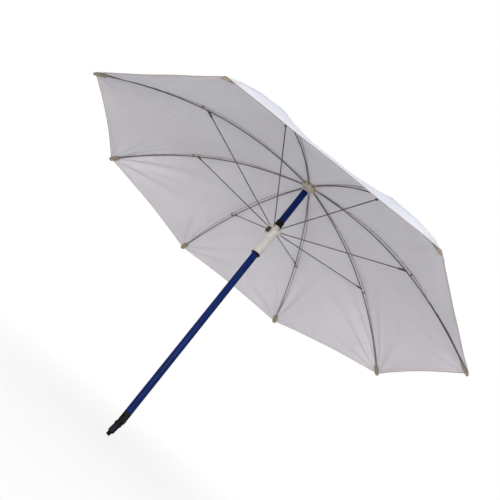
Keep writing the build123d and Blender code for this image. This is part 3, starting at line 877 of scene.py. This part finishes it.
def build_seam_stitching(rib):
    count = int(SEAM_LENGTH / SEAM_STITCH_PITCH)
    ends = [[seam_point(rib, SEAM_STITCH_START_T + q * SEAM_STITCH_SPAN_T, across,
                        SEAM_STITCH_HEIGHT) for q in stitch_span(k, count)]
            for k in range(count) for across in SEAM_STITCH_ROWS]
    stitches(f"seam_stitching_{rib}", ends, SEAM_STITCH_RADIUS, rib, WHITE_THREAD)


for rib in range(1, RIBS + 1):
    for seam_strip in SEAM_STRIPS:
        build_seam_strip(rib, **seam_strip)
    build_tie(rib)
    build_seam_stitching(rib)

# ------------------------------------------------------------------ corner pockets
POCKET_SIDES = 28
POCKET_HALF_WIDTH, POCKET_BELOW, POCKET_ABOVE = 11.0, 3.3, 3.1
POCKET_POWER = 3.6                            # superellipse exponent
POCKET_ROOF = 0.26                            # fall of the top face per mm across
POCKET_ROOF_FLAT = 2.0                        # half width left level at the ridge
POCKET_PITCH = math.atan(slope(0.985))        # downward tilt of the rib at its tip
# (distance past the rib tip, share of the full section)
POCKET_BORE = ((-4.0, 0.30), (-20.0, 0.40), (-31.0, 0.70), (-32.6, 0.88))
POCKET_OUTSIDE = (
    (-33.0, 0.97), (-33.6, 1.02), (-32.2, 1.05), (-28.0, 1.02), (-20.0, 1.0), (-12.0, 0.98),
    (-4.0, 0.95), (0.5, 0.90), (3.0, 0.82), (4.4, 0.62), (4.9, 0.25))
POCKET_STITCH_RADIUS = 0.36


def superellipse(sides, half_width, below, above, power):
    points = []
    for j in range(sides):
        a = 2 * math.pi * j / sides
        c, s = math.cos(a), math.sin(a)
        height = above if s > 0 else below
        points.append((half_width * math.copysign(abs(c) ** (2 / power), c),
                       height * math.copysign(abs(s) ** (2 / power), s)))
    return points


def pocket_point(rib, along, across, above):
    tip_r, tip_z = TIP_RADIUS, CROWN_Z - RIB_DROP
    c, s = math.cos(POCKET_PITCH), math.sin(POCKET_PITCH)
    return radial(azimuth(rib), tip_r + c * along + s * above,
                  tip_z - s * along + c * above, across)


def build_pocket(rib):
    section = superellipse(POCKET_SIDES, POCKET_HALF_WIDTH, POCKET_BELOW, POCKET_ABOVE,
                           POCKET_POWER)
    verts, uv = [], []
    for stations, unevenness in ((POCKET_BORE, 0.0), (POCKET_OUTSIDE, 0.22)):
        for along, share in stations:
            for j, (x, y) in enumerate(section):
                wave = unevenness * math.sin(along * 0.5 + j * 0.9 + rib)
                across = x * share + 0.15 * wave
                above = y * share + 0.2 * wave
                # the top face follows the roof shape of the cloth over the rib
                if y > 0:
                    above -= max(0.0, abs(across) - POCKET_ROOF_FLAT) * POCKET_ROOF * share
                verts.append(pocket_point(rib, along, across, above))
                uv.append((j / POCKET_SIDES * 0.034, along * MM))
    rings = len(POCKET_BORE) + len(POCKET_OUTSIDE)
    faces = tube_walls(rings, POCKET_SIDES) + end_caps(rings, POCKET_SIDES)[::-1]
    pocket = make(f"tip_pocket_{rib}", verts, faces, uv, rib, WEBBING, "pocket_leather")
    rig.replaces(pocket, f"corner_pocket_{rib}")
    bm = bmesh.new()
    bm.from_mesh(pocket.data)
    bmesh.ops.recalc_face_normals(bm, faces=bm.faces)
    bm.to_mesh(pocket.data)
    bm.free()


def build_pocket_stitching(rib):
    """box stitch on the underside: two rows along the rib, then two across it"""
    ends = []
    for across in (-8.6, 8.6):
        for k in range(9):
            start = -30.0 + k * 3.2
            ends.append([pocket_point(rib, along, across, -3.2)
                         for along in (start, start + 2.2)])
    for along in (-30.5, -2.6):
        for k in range(6):
            start = -8.0 + k * 2.8
            ends.append([pocket_point(rib, along, across, -3.36)
                         for across in (start, start + 1.9)])
    stitches(f"pocket_stitching_{rib}", ends, POCKET_STITCH_RADIUS, rib, THREAD,
             "pocket_leather")


for rib in range(1, RIBS + 1):
    build_pocket(rib)
    build_pocket_stitching(rib)

# ------------------------------------------------------------------ stage, in metres
FLOOR_RADIUS = 60.0
FLOOR_GAP = 0.004                             # floor below the lowest CAD point


def floor_material():
    """pale floor that glows white to the camera, more so away from the pole"""
    material, sh = new_material("pale_floor")
    position = sh.add("NewGeometry").outputs["Position"]
    distance = sh.vector_calc("LENGTH", position, output="Value")
    glow = sh.map_range(distance, from_min=0.05, from_max=1.25, to_min=0.80)
    mottle = sh.noise(position, scale=6.0, detail=4.0)
    sh.surface(
        Base_Color=sh.ramp(mottle, (0.3, (0.905, 0.845, 0.785)), (0.7, (0.925, 0.865, 0.805))),
        Roughness=0.9,
        Specular_IOR_Level=0.1)
    white = sh.add("Emission", {"Color": (1, 1, 1, 1), "Strength": 1.0}).outputs[0]
    seen = sh.add("LightPath").outputs["Is Camera Ray"]
    mixed = sh.mix_shader(sh.calc("MULTIPLY", glow, seen), sh.surface_output, white)
    sh.feed_named("Material Output", {0: mixed})
    return material


def build_floor():
    bm = bmesh.new()
    bmesh.ops.create_circle(bm, cap_ends=True, segments=96, radius=FLOOR_RADIUS)
    mesh = bpy.data.meshes.new("floor")
    bm.to_mesh(mesh)
    bm.free()
    floor = bpy.data.objects.new("floor", mesh)
    floor.location = (0, 0, CAD_BOX[0].z - FLOOR_GAP)
    scene.collection.objects.link(floor)
    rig.stage(floor)
    mesh.materials.append(floor_material())


def build_world():
    """soft light all round, cooler and stronger toward one side; white to the camera"""
    cool_side = (-0.2690, -0.6203, 0.7368)
    world = bpy.data.worlds.new("studio")
    scene.world = world
    sh = Shader(world)
    direction = sh.add("TexCoord").outputs["Generated"]
    facing = sh.vector_calc("DOT_PRODUCT", direction, cool_side, output="Value")
    tint = sh.ramp(sh.map_range(facing, from_min=-1.0, from_max=1.0),
                   (0.0, (1.0, 0.938, 0.915)), (0.50, (1.0, 0.942, 0.930)),
                   (0.72, (0.84, 0.905, 1.0)), (1.0, (0.76, 0.865, 1.0)))
    strength = sh.map_range(facing, from_min=-1.0, from_max=1.0, to_min=0.49, to_max=0.790)
    sh.feed_named("Background", {0: tint, 1: strength})
    lighting = sh.tree.nodes["Background"].outputs[0]
    backdrop = sh.add("Background", {0: (1, 1, 1, 1), 1: 1.0}).outputs[0]
    seen = sh.add("LightPath").outputs["Is Camera Ray"]
    sh.feed_named("World Output", {0: sh.mix_shader(seen, lighting, backdrop)})


def area_light(name, location, target, size, power, colour):
    light = bpy.data.lights.new(name, "AREA")
    light.shape = "SQUARE"
    light.size = size
    light.energy = power
    light.color = colour
    lamp = bpy.data.objects.new(name, light)
    lamp.location = location
    aim = Vector(target) - Vector(location)
    lamp.rotation_euler = aim.to_track_quat("-Z", "Y").to_euler()
    scene.collection.objects.link(lamp)
    return lamp


def build_lights():
    area_light("key", location=(0.5, 0.3, 3.6), target=(0, 0, 0.8), size=2.4, power=13,
               colour=(0.50, 0.72, 1.0))
    area_light("rim", location=(2.6, 0.9, 2.0), target=(0.2, 0, 0.8), size=1.6, power=8,
               colour=(0.76, 0.86, 1.0))
    # a wide soft fill from beside the camera, under the canopy
    fill = area_light("fill", location=(1.55, -1.85, 0.30), target=(0.0, 0.05, 0.85), size=1.5,
                      power=25, colour=(1.0, 0.965, 0.955))
    fill.data.shape = "RECTANGLE"
    fill.data.size_y = 0.6
    fill.visible_camera = False


def build_camera():
    """a rolled camera below the canopy's edge, looking up and in"""
    position = Vector((1.089792, -1.123570, 0.124764))
    right = Vector((0.6921806, 0.4074132, 0.5957352))
    down = Vector((0.2690305, 0.6202912, -0.7367913))
    forward = Vector((-0.6697078, 0.6702636, 0.3197469))
    lens = bpy.data.cameras.new("camera")
    camera = bpy.data.objects.new("camera", lens)
    scene.collection.objects.link(camera)
    scene.camera = camera
    turn = Matrix((right, -down, -forward)).transposed()
    camera.matrix_world = Matrix.Translation(position) @ turn.to_4x4()
    lens.sensor_width = 36.0
    lens.lens = 33.97032
    lens.clip_start = 0.01
    lens.clip_end = 200.0


build_floor()
build_world()
build_lights()
build_camera()

scene.view_settings.view_transform = "Standard"
scene.view_settings.look = "None"
scene.view_settings.exposure = 0.0
scene.view_settings.gamma = 1.0

final_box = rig.bounds()
with open("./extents.json", "w") as size_file:
    json.dump({"cad": [list(CAD_BOX[0]), list(CAD_BOX[1])],
               "visual": [list(final_box[0]), list(final_box[1])]}, size_file)
